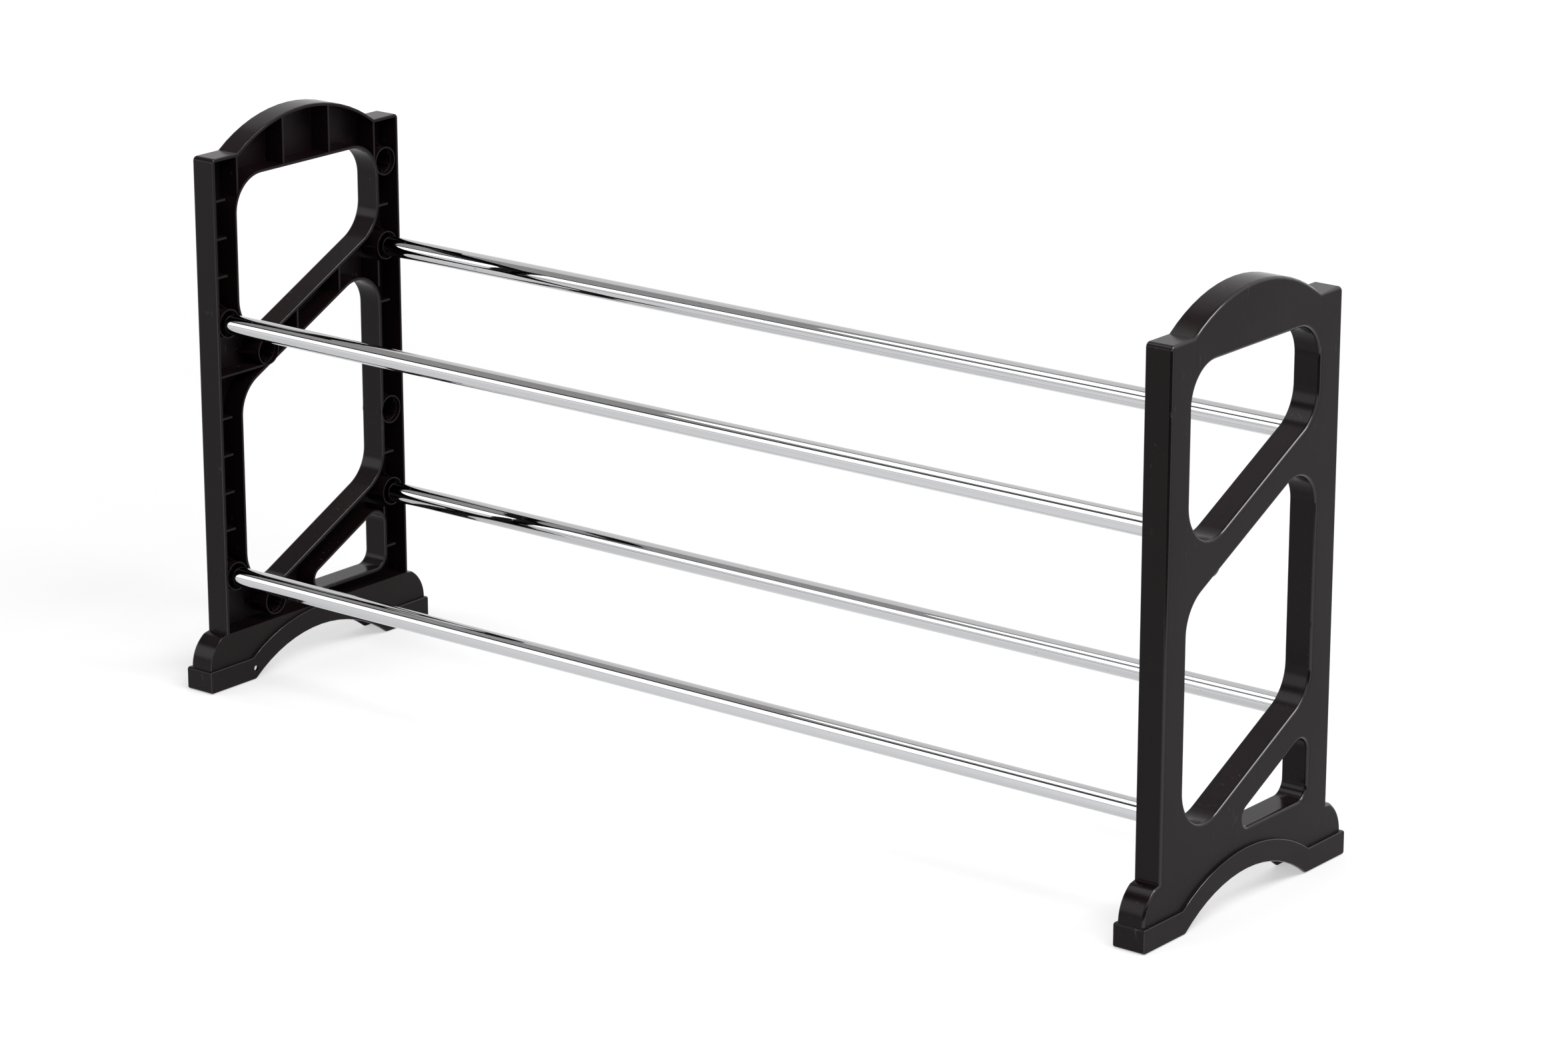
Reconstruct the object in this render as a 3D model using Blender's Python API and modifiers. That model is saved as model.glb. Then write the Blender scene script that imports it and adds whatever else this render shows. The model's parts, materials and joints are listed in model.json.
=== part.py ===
"""Two-tier shoe rack: two moulded end frames joined by four chrome tubes.

The frames stand at the two ends of X, the front of the rack faces -Y and the
floor is Z = 0.  A frame is a tray: a thin outer sheet with walls round its
outline and its windows, open towards the middle of the rack, with ring sockets
and ribs inside.  Its foot is a channel that is open below, wide enough to sit
on the arched top of another rack.
"""

import math

import bmesh
import bpy
from mathutils import Matrix, Vector

MM = 0.001

# Overall sizes
RACK_WIDTH = 728.0 * MM        # outer sheet to outer sheet
RACK_HEIGHT = 361.0 * MM       # floor to the crown of the arch
POST_SPAN = 168.0 * MM         # front of the front post to back of the back post
FRAME_THICKNESS = 17.6 * MM    # outer sheet to open rim
ARCH_RISE = 20.0 * MM          # crown of the arch above the post tops
POST_SHELF = 22.0 * MM         # flat top of a post, beside the arch

# Walls of the moulding
SHEET = 2.0 * MM
WALL = 2.0 * MM
SHEET_ROUND = 1.5 * MM         # edges between the outer sheet and the walls
EDGE_ROUND = 0.8 * MM          # edges of the skirt
POST_CORNER = 3.0 * MM

# Windows
FRONT_POST = 20.5 * MM         # width of the front post
BACK_POST = 21.5 * MM
TOP_RAIL = 15.8 * MM           # post tops to the top window
TOP_WINDOW = 84.6 * MM         # height of the top window at mid depth
SMALL_WINDOW_SILL = 44.7 * MM
BAR_SLOPE = math.radians(26.5)
LOWER_BAR_TOP = 76.6 * MM      # height of the lower bar's upper edge at mid depth
BAR_DEPTH = 20.3 * MM          # upright thickness of a sloping bar
TOP_FRONT_ROUND = 22.5 * MM
TOP_BACK_ROUND = 21.5 * MM
BAR_FRONT_ROUND = 24.0 * MM    # acute corners where a bar's upper edge meets the front post
BAR_BACK_ROUND = 25.0 * MM
MID_FRONT_ROUND = 25.0 * MM
MID_BACK_ROUND = 20.0 * MM
SMALL_TIP_ROUND = 6.3 * MM
SMALL_TOP_ROUND = 9.0 * MM
SMALL_SILL_ROUND = 8.5 * MM

# Foot
FOOT_TOP = 35.0 * MM           # the posts end and the closed foot begins
FOOT_CEILING = 2.0 * MM        # wall between the tray and the foot channel
BLOCK_HEIGHT = 14.4 * MM
BLOCK_REACH = 17.4 * MM        # blocks stand this far beyond the posts
SKIRT_STEP = 1.8 * MM          # skirt stands proud of the sheet, the rim and the shoulders
SKIRT_WALL = 1.6 * MM
SKIRT_WIDTH = 13.2 * MM        # breadth of the skirt along the arch
SHOULDER_ROUND = 23.0 * MM
SOFFIT_RADIUS = 99.5 * MM
SOFFIT_TOP = 20.8 * MM
BLOCK_CORNER = 3.5 * MM
BLOCK_END_ROUND = 1.6 * MM     # upper and lower corner of a block's end
PEG_HOLE = 3.6 * MM
PEG_HOLE_OFFSET = 61.0 * MM    # from mid depth
PEG_HOLE_HEIGHT = 7.2 * MM

# Tubes and their sockets
TUBE_DIAMETER = 12.7 * MM
TUBE_WALL = 0.8 * MM
TUBE_CLEARANCE = 0.3 * MM
FRONT_TUBE_INSET = 11.0 * MM
BACK_TUBE_INSET = 12.2 * MM
LOWER_FRONT_TUBE = 71.0 * MM   # heights of the lower tier's axes
LOWER_BACK_TUBE = 93.0 * MM
SPARE_BACK_RISE = 55.0 * MM    # a spare back socket lies above each used one
SPARE_FRONT_INSET = 34.0 * MM  # a spare front socket lies behind and below each used one
SPARE_FRONT_DROP = 24.4 * MM
RING_DIAMETER = 18.4 * MM
RING_WALL = 1.1 * MM
RING_DROP = 0.4 * MM           # rings end this far below the rim
SOCKET_FLOOR = 0.2 * MM        # a socket's floor is raised above the sheet
GRIP_RIBS = 6
GRIP_RIB_WIDTH = 1.0 * MM

# Ribs inside the tray
RIB = 1.4 * MM
RIB_DROP = 0.6 * MM            # ribs end this far below the rim
RIB_ROOT = 1.0 * MM            # ribs sink this far into the walls that they meet
ARCH_RIBS = 4
BAR_RIBS = (-12.0 * MM, 27.0 * MM)
STUB_LENGTH = 10.0 * MM        # short ribs on the post walls
STUB_SPACING = 24.2 * MM
STUB_HEADROOM = 27.0 * MM      # from a wall or ring up or down to the nearest short rib
STUB_DROP = 36.0 * MM          # from a back ring's axis down to its short rib
GUSSET_REACH = 6.0 * MM
CUT_OVERRUN = 5.0 * MM         # cutters run this far past the faces that they open

# Colours
BLACK_PLASTIC = (0.012, 0.011, 0.012, 1.0)
CHROME = (0.62, 0.62, 0.63, 1.0)

# Fineness of round stretches
ARC_STEP = math.radians(11.0)
ROUND_STEPS = 2                # facets of a rounded edge
WELD_DISTANCE = 0.01 * MM
RING_SIDES = 24
TUBE_SIDES = 40

# Worked out from the sizes above
HALF_SPAN = POST_SPAN / 2
LEFT = -1
RIGHT = 1
WINDOW_FRONT = -HALF_SPAN + FRONT_POST
WINDOW_BACK = HALF_SPAN - BACK_POST
POST_TOP = RACK_HEIGHT - ARCH_RISE
WINDOW_TOP = POST_TOP - TOP_RAIL
TIER_PITCH = WINDOW_TOP - TOP_WINDOW - LOWER_BAR_TOP
ARCH_HALF_CHORD = HALF_SPAN - POST_SHELF
ARCH_RADIUS = (ARCH_HALF_CHORD ** 2 + ARCH_RISE ** 2) / (2 * ARCH_RISE)
ARCH_CENTRE = RACK_HEIGHT - ARCH_RADIUS
SOFFIT_CENTRE = SOFFIT_TOP - SOFFIT_RADIUS
SKIRT_RADIUS = SOFFIT_RADIUS + SKIRT_WIDTH
SHOULDER_REACH = BLOCK_REACH - SKIRT_STEP
RING_BORE = RING_DIAMETER - 2 * RING_WALL
FRONT_TUBE_Y = -HALF_SPAN + FRONT_TUBE_INSET
BACK_TUBE_Y = HALF_SPAN - BACK_TUBE_INSET
SPARE_FRONT_Y = FRONT_TUBE_Y + SPARE_FRONT_INSET


def clear_scene():
    """Remove what the file opened with."""
    for item in list(bpy.data.objects):
        bpy.data.objects.remove(item, do_unlink=True)


def new_collection(name):
    """Make a collection in the scene."""
    group = bpy.data.collections.new(name)
    bpy.context.scene.collection.children.link(group)
    return group


def make_material(name, colour, roughness, metallic):
    """Make a plain surface finish."""
    material = bpy.data.materials.new(name)
    material.use_nodes = True
    shader = material.node_tree.nodes["Principled BSDF"]
    shader.inputs["Base Color"].default_value = colour
    shader.inputs["Roughness"].default_value = roughness
    shader.inputs["Metallic"].default_value = metallic
    return material


# Outlines: lists of (y, z, corner radius)

def bar_edge(height, y):
    """Height at depth y of a sloping edge that is at the given height at mid depth."""
    return height + y * math.tan(BAR_SLOPE)


def on_circle(radius, centre_z, z):
    """Depth at which a circle centred on mid depth reaches the height z."""
    return math.sqrt(radius ** 2 - (z - centre_z) ** 2)


def arc(centre, radius, start, end):
    """Points of an arc, ends included, with no corner rounding of their own."""
    steps = 2 * math.ceil(abs(end - start) / ARC_STEP / 2)
    points = []
    for i in range(steps + 1):
        angle = start + (end - start) * i / steps
        points.append((centre[0] + radius * math.cos(angle), centre[1] + radius * math.sin(angle), 0.0))
    return points


def arch_points(radius, centre_z, z, front_to_back):
    """Arc over mid depth between its two points at height z."""
    reach = on_circle(radius, centre_z, z)
    swing = math.atan2(z - centre_z, reach)
    ends = (math.pi - swing, swing) if front_to_back else (swing, math.pi - swing)
    return arc((0.0, centre_z), radius, *ends)


def rounded(corners):
    """Round each corner of a closed outline by its own radius."""
    points = []
    count = len(corners)
    for i, (y, z, radius) in enumerate(corners):
        here = Vector((y, z))
        if radius == 0.0:
            points.append(here)
            continue
        before = (Vector(corners[i - 1][:2]) - here).normalized()
        after = (Vector(corners[(i + 1) % count][:2]) - here).normalized()
        half = before.angle(after) / 2
        centre = here + (before + after).normalized() * (radius / math.sin(half))
        start = here + before * (radius / math.tan(half)) - centre
        end = here + after * (radius / math.tan(half)) - centre
        turn = math.atan2(start.x * end.y - start.y * end.x, start.dot(end))
        first = math.atan2(start.y, start.x)
        steps = max(2, math.ceil(abs(turn) / ARC_STEP))
        for k in range(steps + 1):
            angle = first + turn * k / steps
            points.append(centre + radius * Vector((math.cos(angle), math.sin(angle))))
    return points


def grown(corners, distance):
    """Move every edge of a convex outline outwards, keeping its round corners concentric."""
    count = len(corners)
    middle = sum((Vector(c[:2]) for c in corners), Vector((0.0, 0.0))) / count
    edges = []
    for i in range(count):
        start = Vector(corners[i][:2])
        along = (Vector(corners[(i + 1) % count][:2]) - start).normalized()
        normal = Vector((along.y, -along.x))
        if normal.dot(start - middle) < 0.0:
            normal = -normal
        edges.append((start + normal * distance, along))
    result = []
    for i in range(count):
        p, d = edges[i - 1]
        q, e = edges[i]
        step = ((q - p).x * e.y - (q - p).y * e.x) / (d.x * e.y - d.y * e.x)
        corner = p + d * step
        result.append((corner.x, corner.y, corners[i][2] + distance))
    return result


def top_window():
    """Window under the arch, above the upper bar."""
    sill = LOWER_BAR_TOP + TIER_PITCH
    return [
        (WINDOW_FRONT, bar_edge(sill, WINDOW_FRONT), BAR_FRONT_ROUND),
        (WINDOW_BACK, bar_edge(sill, WINDOW_BACK), BAR_BACK_ROUND),
        (WINDOW_BACK, WINDOW_TOP, TOP_BACK_ROUND),
        (WINDOW_FRONT, WINDOW_TOP, TOP_FRONT_ROUND),
    ]


def middle_window():
    """Window between the two sloping bars."""
    head = LOWER_BAR_TOP + TIER_PITCH - BAR_DEPTH
    return [
        (WINDOW_FRONT, bar_edge(LOWER_BAR_TOP, WINDOW_FRONT), BAR_FRONT_ROUND),
        (WINDOW_BACK, bar_edge(LOWER_BAR_TOP, WINDOW_BACK), BAR_BACK_ROUND),
        (WINDOW_BACK, bar_edge(head, WINDOW_BACK), MID_BACK_ROUND),
        (WINDOW_FRONT, bar_edge(head, WINDOW_FRONT), MID_FRONT_ROUND),
    ]


def small_window():
    """Three-cornered window under the lower bar."""
    head = LOWER_BAR_TOP - BAR_DEPTH
    tip = (SMALL_WINDOW_SILL - head) / math.tan(BAR_SLOPE)
    return [
        (tip, SMALL_WINDOW_SILL, SMALL_TIP_ROUND),
        (WINDOW_BACK, SMALL_WINDOW_SILL, SMALL_SILL_ROUND),
        (WINDOW_BACK, bar_edge(head, WINDOW_BACK), SMALL_TOP_ROUND),
    ]


def crown(inset):
    """Post tops and the arch between them, front to back, moved in by inset."""
    edge = HALF_SPAN - inset
    top = POST_TOP - inset
    corner = max(POST_CORNER - inset, 0.0)
    arch = arch_points(ARCH_RADIUS - inset, ARCH_CENTRE, top, True)
    return [(-edge, top, corner)] + arch + [(edge, top, corner)]


def shoulder(side, inset, top):
    """Rounded shoulder of the foot, from the block up to the height top."""
    radius = SHOULDER_ROUND - inset
    centre_y = HALF_SPAN + SHOULDER_REACH - SHOULDER_ROUND
    swing = math.asin((top - BLOCK_HEIGHT) / radius)
    points = arc((centre_y, BLOCK_HEIGHT), radius, 0.0, swing)
    if side > 0:
        return points
    return [(-y, z, r) for y, z, r in points]


def panel_outline():
    """Outline of posts, arch and shoulders; its lower edge is inside the skirt."""
    hidden = BLOCK_HEIGHT / 3
    end = HALF_SPAN + SHOULDER_REACH
    middle = SOFFIT_RADIUS + SKIRT_WIDTH / 2
    front = shoulder(-1, 0.0, FOOT_TOP)
    front[-1] = (-HALF_SPAN, FOOT_TOP, 0.0)
    back = [(-y, z, r) for y, z, r in reversed(front)]
    soffit = arch_points(middle, SOFFIT_CENTRE, hidden, False)
    return [(-end, hidden, 0.0)] + front + crown(0.0) + back + [(end, hidden, 0.0)] + soffit


def skirt_outline():
    """Outline of the two foot blocks and the arched skirt between them."""
    end = HALF_SPAN + BLOCK_REACH
    soffit = arch_points(SOFFIT_RADIUS, SOFFIT_CENTRE, 0.0, False)
    soffit[0] = (soffit[0][0], soffit[0][1], BLOCK_CORNER)
    soffit[-1] = (soffit[-1][0], soffit[-1][1], BLOCK_CORNER)
    top = arch_points(SKIRT_RADIUS, SOFFIT_CENTRE, BLOCK_HEIGHT, True)
    front = [(-end, 0.0, BLOCK_END_ROUND), (-end, BLOCK_HEIGHT, BLOCK_END_ROUND)]
    back = [(-y, z, r) for y, z, r in reversed(front)]
    return front + top + back + soffit


def tray_outline():
    """Outline of the tray's hollow."""
    edge = HALF_SPAN - WALL
    return [(-edge, FOOT_TOP, 0.0)] + crown(WALL) + [(edge, FOOT_TOP, 0.0)]


def wide_channel_outline(below):
    """Outline of the hollow inside the skirt, open below."""
    end = HALF_SPAN + BLOCK_REACH - SKIRT_WALL
    top = arch_points(SKIRT_RADIUS - SKIRT_WALL, SOFFIT_CENTRE, BLOCK_HEIGHT - SKIRT_WALL, True)
    front = [(-end, -below, 0.0), (-end, BLOCK_HEIGHT - SKIRT_WALL, 0.0)]
    back = [(end, BLOCK_HEIGHT - SKIRT_WALL, 0.0), (end, -below, 0.0)]
    return front + top + back


def narrow_channel_outline(below):
    """Outline of the hollow under the shoulders, above the skirt."""
    end = HALF_SPAN + SHOULDER_REACH - WALL
    front = shoulder(-1, WALL, FOOT_TOP - FOOT_CEILING)
    back = [(-y, z, r) for y, z, r in reversed(front)]
    return [(-end, -below, 0.0)] + front + back + [(end, -below, 0.0)]


def circle(centre, radius):
    """Closed round outline."""
    turn = 2 * math.pi / RING_SIDES
    return [
        (centre[0] + radius * math.cos(i * turn), centre[1] + radius * math.sin(i * turn), 0.0)
        for i in range(RING_SIDES)
    ]


def socket_outline(centre):
    """Bore of a ring socket, with grip ribs that reach in to the tube."""
    outer = RING_BORE / 2
    inner = TUBE_DIAMETER / 2 + TUBE_CLEARANCE
    half_rib = math.asin(GRIP_RIB_WIDTH / 2 / outer)
    half_tip = math.asin(GRIP_RIB_WIDTH / 2 / inner)
    pitch = 2 * math.pi / GRIP_RIBS
    points = []
    for i in range(GRIP_RIBS):
        rib = (i + 0.5) * pitch
        points += arc(centre, inner, rib - half_tip, rib + half_tip)[::2]
        points += arc(centre, outer, rib + half_rib, rib + pitch - half_rib)
    return points


# Solids

def frame_x(side, depth):
    """World X of a depth measured inwards from a frame's outer sheet."""
    return side * (RACK_WIDTH / 2 - depth)


def moved_in(points, distance):
    """Move every edge of a closed outline inwards, or outwards where the distance is negative."""
    count = len(points)
    turn = math.copysign(1.0, sum(points[i - 1].cross(points[i]) for i in range(count)))
    result = []
    for i, here in enumerate(points):
        before = (here - points[i - 1]).normalized()
        after = (points[(i + 1) % count] - here).normalized()
        first = Vector((-before.y, before.x)) * turn
        second = Vector((-after.y, after.x)) * turn
        result.append(here + (first + second) * (distance / (1.0 + first.dot(second))))
    return result


def edge_layers(face, inwards, radius):
    """Depths of a rounded edge, from its face on, each with the distance that the outlines move in."""
    steps = ROUND_STEPS if radius else 0
    rows = []
    for i in range(steps + 1):
        angle = math.pi / 2 * i / max(steps, 1)
        rows.append((face + inwards * radius * (1.0 - math.sin(angle)), radius * (1.0 - math.cos(angle))))
    return rows[::-1]


def slab(name, group, outlines, side, near, far, near_round=0.0, far_round=0.0):
    """Solid between two depths of a frame, from a flat outline and its holes, with rounded edges."""
    rows = edge_layers(near, 1.0, near_round) + edge_layers(far, -1.0, far_round)[::-1]
    work = bmesh.new()
    caps = ([], [])
    for number, outline in enumerate(outlines):
        points = rounded(outline)
        loops = []
        for depth, inset in rows:
            ring = moved_in(points, -inset if number else inset)
            loops.append([work.verts.new((frame_x(side, depth), *point)) for point in ring])
        for low, high in zip(loops, loops[1:]):
            for i in range(len(points)):
                work.faces.new((low[i - 1], low[i], high[i], high[i - 1]))
        for cap, loop in zip(caps, (loops[0], loops[-1])):
            cap.extend(work.edges.get((loop[i - 1], vert)) for i, vert in enumerate(loop))
    for cap in caps:
        bmesh.ops.triangle_fill(work, use_beauty=True, edges=cap)
    bmesh.ops.recalc_face_normals(work, faces=work.faces)
    mesh = bpy.data.meshes.new(name)
    work.to_mesh(mesh)
    work.free()
    return add_object(name, mesh, group)


def add_object(name, mesh, group):
    """Put a mesh in a collection under its name."""
    mesh.name = name
    item = bpy.data.objects.new(name, mesh)
    group.objects.link(item)
    return item


def as_cutter(item):
    """Show a working shape as a wire only."""
    item.hide_render = True
    item.display_type = "WIRE"
    return item


def strip(start, end, width):
    """Outline of a straight rib between two points of the frame's side view."""
    a = Vector(start)
    b = Vector(end)
    across = (b - a).normalized().orthogonal() * (width / 2)
    return [(*(a + across), 0.0), (*(b + across), 0.0), (*(b - across), 0.0), (*(a - across), 0.0)]


def gusset(name, group, side, centre, angle):
    """Three-cornered web that props a ring socket from the sheet."""
    root = RING_DIAMETER / 2 - RING_WALL / 2
    profile = (
        (root, SHEET / 2),
        (root + GUSSET_REACH, SHEET / 2),
        (root, FRAME_THICKNESS - RING_DROP - RING_WALL),
    )
    outwards = Vector((0.0, math.cos(angle), math.sin(angle)))
    across = Vector((0.0, -math.sin(angle), math.cos(angle))) * RIB
    base = Vector((0.0, *centre)) - across / 2
    mesh = bpy.data.meshes.new(name)
    work = bmesh.new()
    corners = []
    for out, deep in profile:
        corners.append(work.verts.new(base + outwards * out + Vector((frame_x(side, deep), 0.0, 0.0))))
    swept = bmesh.ops.extrude_face_region(work, geom=[work.faces.new(corners)])
    moved = [item for item in swept["geom"] if isinstance(item, bmesh.types.BMVert)]
    bmesh.ops.translate(work, verts=moved, vec=across)
    bmesh.ops.recalc_face_normals(work, faces=work.faces)
    work.to_mesh(mesh)
    work.free()
    return add_object(name, mesh, group)


def used_sockets():
    """Places of the tubes in the side view, by name."""
    places = {}
    for tier, lift in (("lower", 0.0), ("upper", TIER_PITCH)):
        places[tier + "_front"] = (FRONT_TUBE_Y, LOWER_FRONT_TUBE + lift)
        places[tier + "_back"] = (BACK_TUBE_Y, LOWER_BACK_TUBE + lift)
    return places


def spare_sockets():
    """Places of the empty sockets in the side view."""
    places = []
    for lift in (0.0, TIER_PITCH):
        places.append((SPARE_FRONT_Y, LOWER_FRONT_TUBE - SPARE_FRONT_DROP + lift))
        places.append((BACK_TUBE_Y, LOWER_BACK_TUBE + SPARE_BACK_RISE + lift))
    return places


def gusset_places():
    """Ring centres and directions of their gussets: only where the tray has room beside the ring."""
    upwards = math.pi / 2
    forwards = math.pi
    places = []
    for name, centre in used_sockets().items():
        places.append((centre, upwards))
        if name.endswith("back"):
            places.append((centre, forwards))
    for centre in spare_sockets():
        places.append((centre, forwards if centre[0] < 0.0 else upwards))
    return places


def arch_rib_lines():
    """Upright ribs between the arch and the top window; the outer two go on down into the posts."""
    lines = []
    for i in range(ARCH_RIBS):
        y = -ARCH_HALF_CHORD + 2 * ARCH_HALF_CHORD * i / (ARCH_RIBS - 1)
        over = POST_TOP - RIB_ROOT
        under = WINDOW_TOP - max(TOP_FRONT_ROUND, TOP_BACK_ROUND) / 2
        if abs(y) < ARCH_HALF_CHORD - RIB:
            over = ARCH_CENTRE + on_circle(ARCH_RADIUS - WALL + RIB_ROOT, 0.0, y)
            under = WINDOW_TOP + WALL - RIB_ROOT
        lines.append(((y, under), (y, over)))
    return lines


def ledge_height():
    """Height of the long rib under the upper spare front ring."""
    spare = LOWER_FRONT_TUBE + TIER_PITCH - SPARE_FRONT_DROP
    return spare - RING_DIAMETER / 2 + RING_WALL / 2


def stub_lines():
    """Short ribs on the front wall of the front post and the window wall of the back post."""
    front = -HALF_SPAN + WALL - RIB_ROOT
    back = WINDOW_BACK + WALL - RIB_ROOT
    places = []
    upper_ring = LOWER_FRONT_TUBE + TIER_PITCH
    for high, low in ((POST_TOP, upper_ring), (ledge_height(), LOWER_FRONT_TUBE)):
        height = high - STUB_HEADROOM
        while height > low + STUB_HEADROOM:
            places.append((front, height))
            height -= STUB_SPACING
    for ring in (LOWER_BACK_TUBE, LOWER_BACK_TUBE + TIER_PITCH):
        places.append((back, ring + STUB_HEADROOM))
        places.append((back, ring - STUB_DROP))
    return [((y, z), (y + STUB_LENGTH, z)) for y, z in places]


def bar_rib_lines():
    """Upright ribs across the upper sloping bar."""
    head = LOWER_BAR_TOP + TIER_PITCH
    lines = []
    for y in BAR_RIBS:
        low = bar_edge(head - BAR_DEPTH, y) + WALL - RIB_ROOT
        high = bar_edge(head, y) - WALL + RIB_ROOT
        lines.append(((y, low), (y, high)))
    return lines


def junction_lines():
    """Ribs where the bars meet the posts."""
    lines = []
    wall = WINDOW_BACK + WALL / 2
    for lift, head in ((0.0, small_window()[2]), (TIER_PITCH, middle_window()[2])):
        ring = LOWER_BACK_TUBE + lift - RING_DIAMETER / 2
        lines.append(((wall, head[1] - head[2]), (wall, ring + RING_WALL / 2)))
    lines.append(((-HALF_SPAN + WALL - RIB_ROOT, ledge_height()), (SPARE_FRONT_Y, ledge_height())))
    return lines


def make_ribs(label, tools, side):
    """Rings, ribs and gussets of one frame."""
    group = bpy.data.collections.new(label + "_ribs")
    tools.children.link(group)
    lines = arch_rib_lines() + stub_lines() + bar_rib_lines() + junction_lines()
    for i, (start, end) in enumerate(lines):
        outline = strip(start, end, RIB)
        slab(f"{label}_rib_{i:02d}", group, [outline], side, SHEET / 2, FRAME_THICKNESS - RIB_DROP)
    places = list(used_sockets().values()) + spare_sockets()
    for i, centre in enumerate(places):
        outline = circle(centre, RING_DIAMETER / 2)
        slab(f"{label}_ring_{i}", group, [outline], side, SHEET / 2, FRAME_THICKNESS - RING_DROP)
    for i, (centre, angle) in enumerate(gusset_places()):
        gusset(f"{label}_gusset_{i}", group, side, centre, angle)
    return group


def make_bores(label, tools, side):
    """Cutters for the sockets of one frame and for the peg holes of its foot."""
    group = bpy.data.collections.new(label + "_bores")
    tools.children.link(group)
    floor = SHEET + SOCKET_FLOOR
    for i, centre in enumerate(list(used_sockets().values()) + spare_sockets()):
        outline = socket_outline(centre)
        slab(f"{label}_bore_{i}", group, [outline], side, floor, FRAME_THICKNESS + CUT_OVERRUN)
    for i, y in enumerate((-PEG_HOLE_OFFSET, PEG_HOLE_OFFSET)):
        outline = circle((y, PEG_HOLE_HEIGHT), PEG_HOLE / 2)
        near = FRAME_THICKNESS / 2
        slab(f"{label}_peg_hole_{i}", group, [outline], side, near, FRAME_THICKNESS + CUT_OVERRUN)
    return group


def make_hollows(label, tools, side):
    """Cutters for the tray and for the foot channel of one frame."""
    windows = [grown(w, WALL) for w in (top_window(), middle_window(), small_window())]
    gap = SKIRT_STEP - SKIRT_WALL
    group = bpy.data.collections.new(label + "_hollows")
    tools.children.link(group)
    slab(label + "_tray", group, [tray_outline()] + windows, side, SHEET, FRAME_THICKNESS + CUT_OVERRUN)
    wide = [wide_channel_outline(CUT_OVERRUN)]
    slab(label + "_wide_channel", group, wide, side, -gap, FRAME_THICKNESS + gap)
    narrow = [narrow_channel_outline(CUT_OVERRUN)]
    slab(label + "_narrow_channel", group, narrow, side, WALL, FRAME_THICKNESS - WALL)
    return group


def combine(item, name, operation, group):
    """Join or cut a part with every shape of a collection, and close hairline slivers."""
    for tool in group.objects:
        as_cutter(tool)
    boolean = item.modifiers.new(name, "BOOLEAN")
    boolean.operation = operation
    boolean.operand_type = "COLLECTION"
    boolean.collection = group
    boolean.solver = "EXACT"
    weld_step = item.modifiers.new(name + "_weld", "WELD")
    weld_step.merge_threshold = WELD_DISTANCE


def make_end_frame(name, side, group, tools, material):
    """Panel of one end frame, and the steps that give it its skirt, hollows, ribs and sockets."""
    windows = [top_window(), middle_window(), small_window()]
    outlines = [panel_outline()] + windows
    frame = slab(name, group, outlines, side, 0.0, FRAME_THICKNESS, SHEET_ROUND)
    frame.data.materials.append(material)
    skirt_group = bpy.data.collections.new(name + "_skirt")
    tools.children.link(skirt_group)
    outer = FRAME_THICKNESS + SKIRT_STEP
    outlines = [skirt_outline()]
    slab(name + "_skirt", skirt_group, outlines, side, -SKIRT_STEP, outer, EDGE_ROUND, EDGE_ROUND)
    steps = (
        ("skirt", "UNION", skirt_group),
        ("hollows", "DIFFERENCE", make_hollows(name, tools, side)),
        ("ribs", "UNION", make_ribs(name, tools, side)),
        ("bores", "DIFFERENCE", make_bores(name, tools, side)),
    )
    return frame, steps


def make_tube(name, place, group, material):
    """One open chrome tube that reaches to the socket floors of both frames."""
    length = RACK_WIDTH - 2 * (SHEET + SOCKET_FLOOR + TUBE_CLEARANCE)
    mesh = bpy.data.meshes.new(name)
    work = bmesh.new()
    along_x = Matrix.Rotation(math.pi / 2, 4, "Y")
    bmesh.ops.create_cone(
        work,
        cap_ends=False,
        segments=TUBE_SIDES,
        radius1=TUBE_DIAMETER / 2,
        radius2=TUBE_DIAMETER / 2,
        depth=length,
        matrix=Matrix.Translation((0.0, *place)) @ along_x,
    )
    work.to_mesh(mesh)
    work.free()
    mesh.shade_smooth()
    mesh.materials.append(material)
    tube = add_object(name, mesh, group)
    wall = tube.modifiers.new("wall", "SOLIDIFY")
    wall.thickness = TUBE_WALL
    wall.offset = -1.0
    wall.use_even_offset = True
    return tube


def main():
    """Build the whole rack."""
    clear_scene()
    parts = new_collection("Shoe rack")
    tools = new_collection("Cutters")
    frames = []
    for name, side in (("end_frame_left", LEFT), ("end_frame_right", RIGHT)):
        plastic = make_material(name + "_plastic", BLACK_PLASTIC, 0.38, 0.0)
        frames.append(make_end_frame(name, side, parts, tools, plastic))
    for place_name, place in used_sockets().items():
        chrome = make_material(place_name + "_chrome", CHROME, 0.06, 1.0)
        make_tube("tube_" + place_name, place, parts, chrome)
    for frame, steps in frames:
        for step in steps:
            combine(frame, *step)


main()
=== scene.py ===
"""Looks of a two-tier shoe rack: fine meshes for its six pieces, their finishes and a plain studio."""

import json
import logging
import math
from dataclasses import dataclass, field
from enum import Enum
from typing import Iterable, Iterator, Optional, Sequence, Union

import bmesh
import bpy
from mathutils import Matrix, Vector

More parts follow.
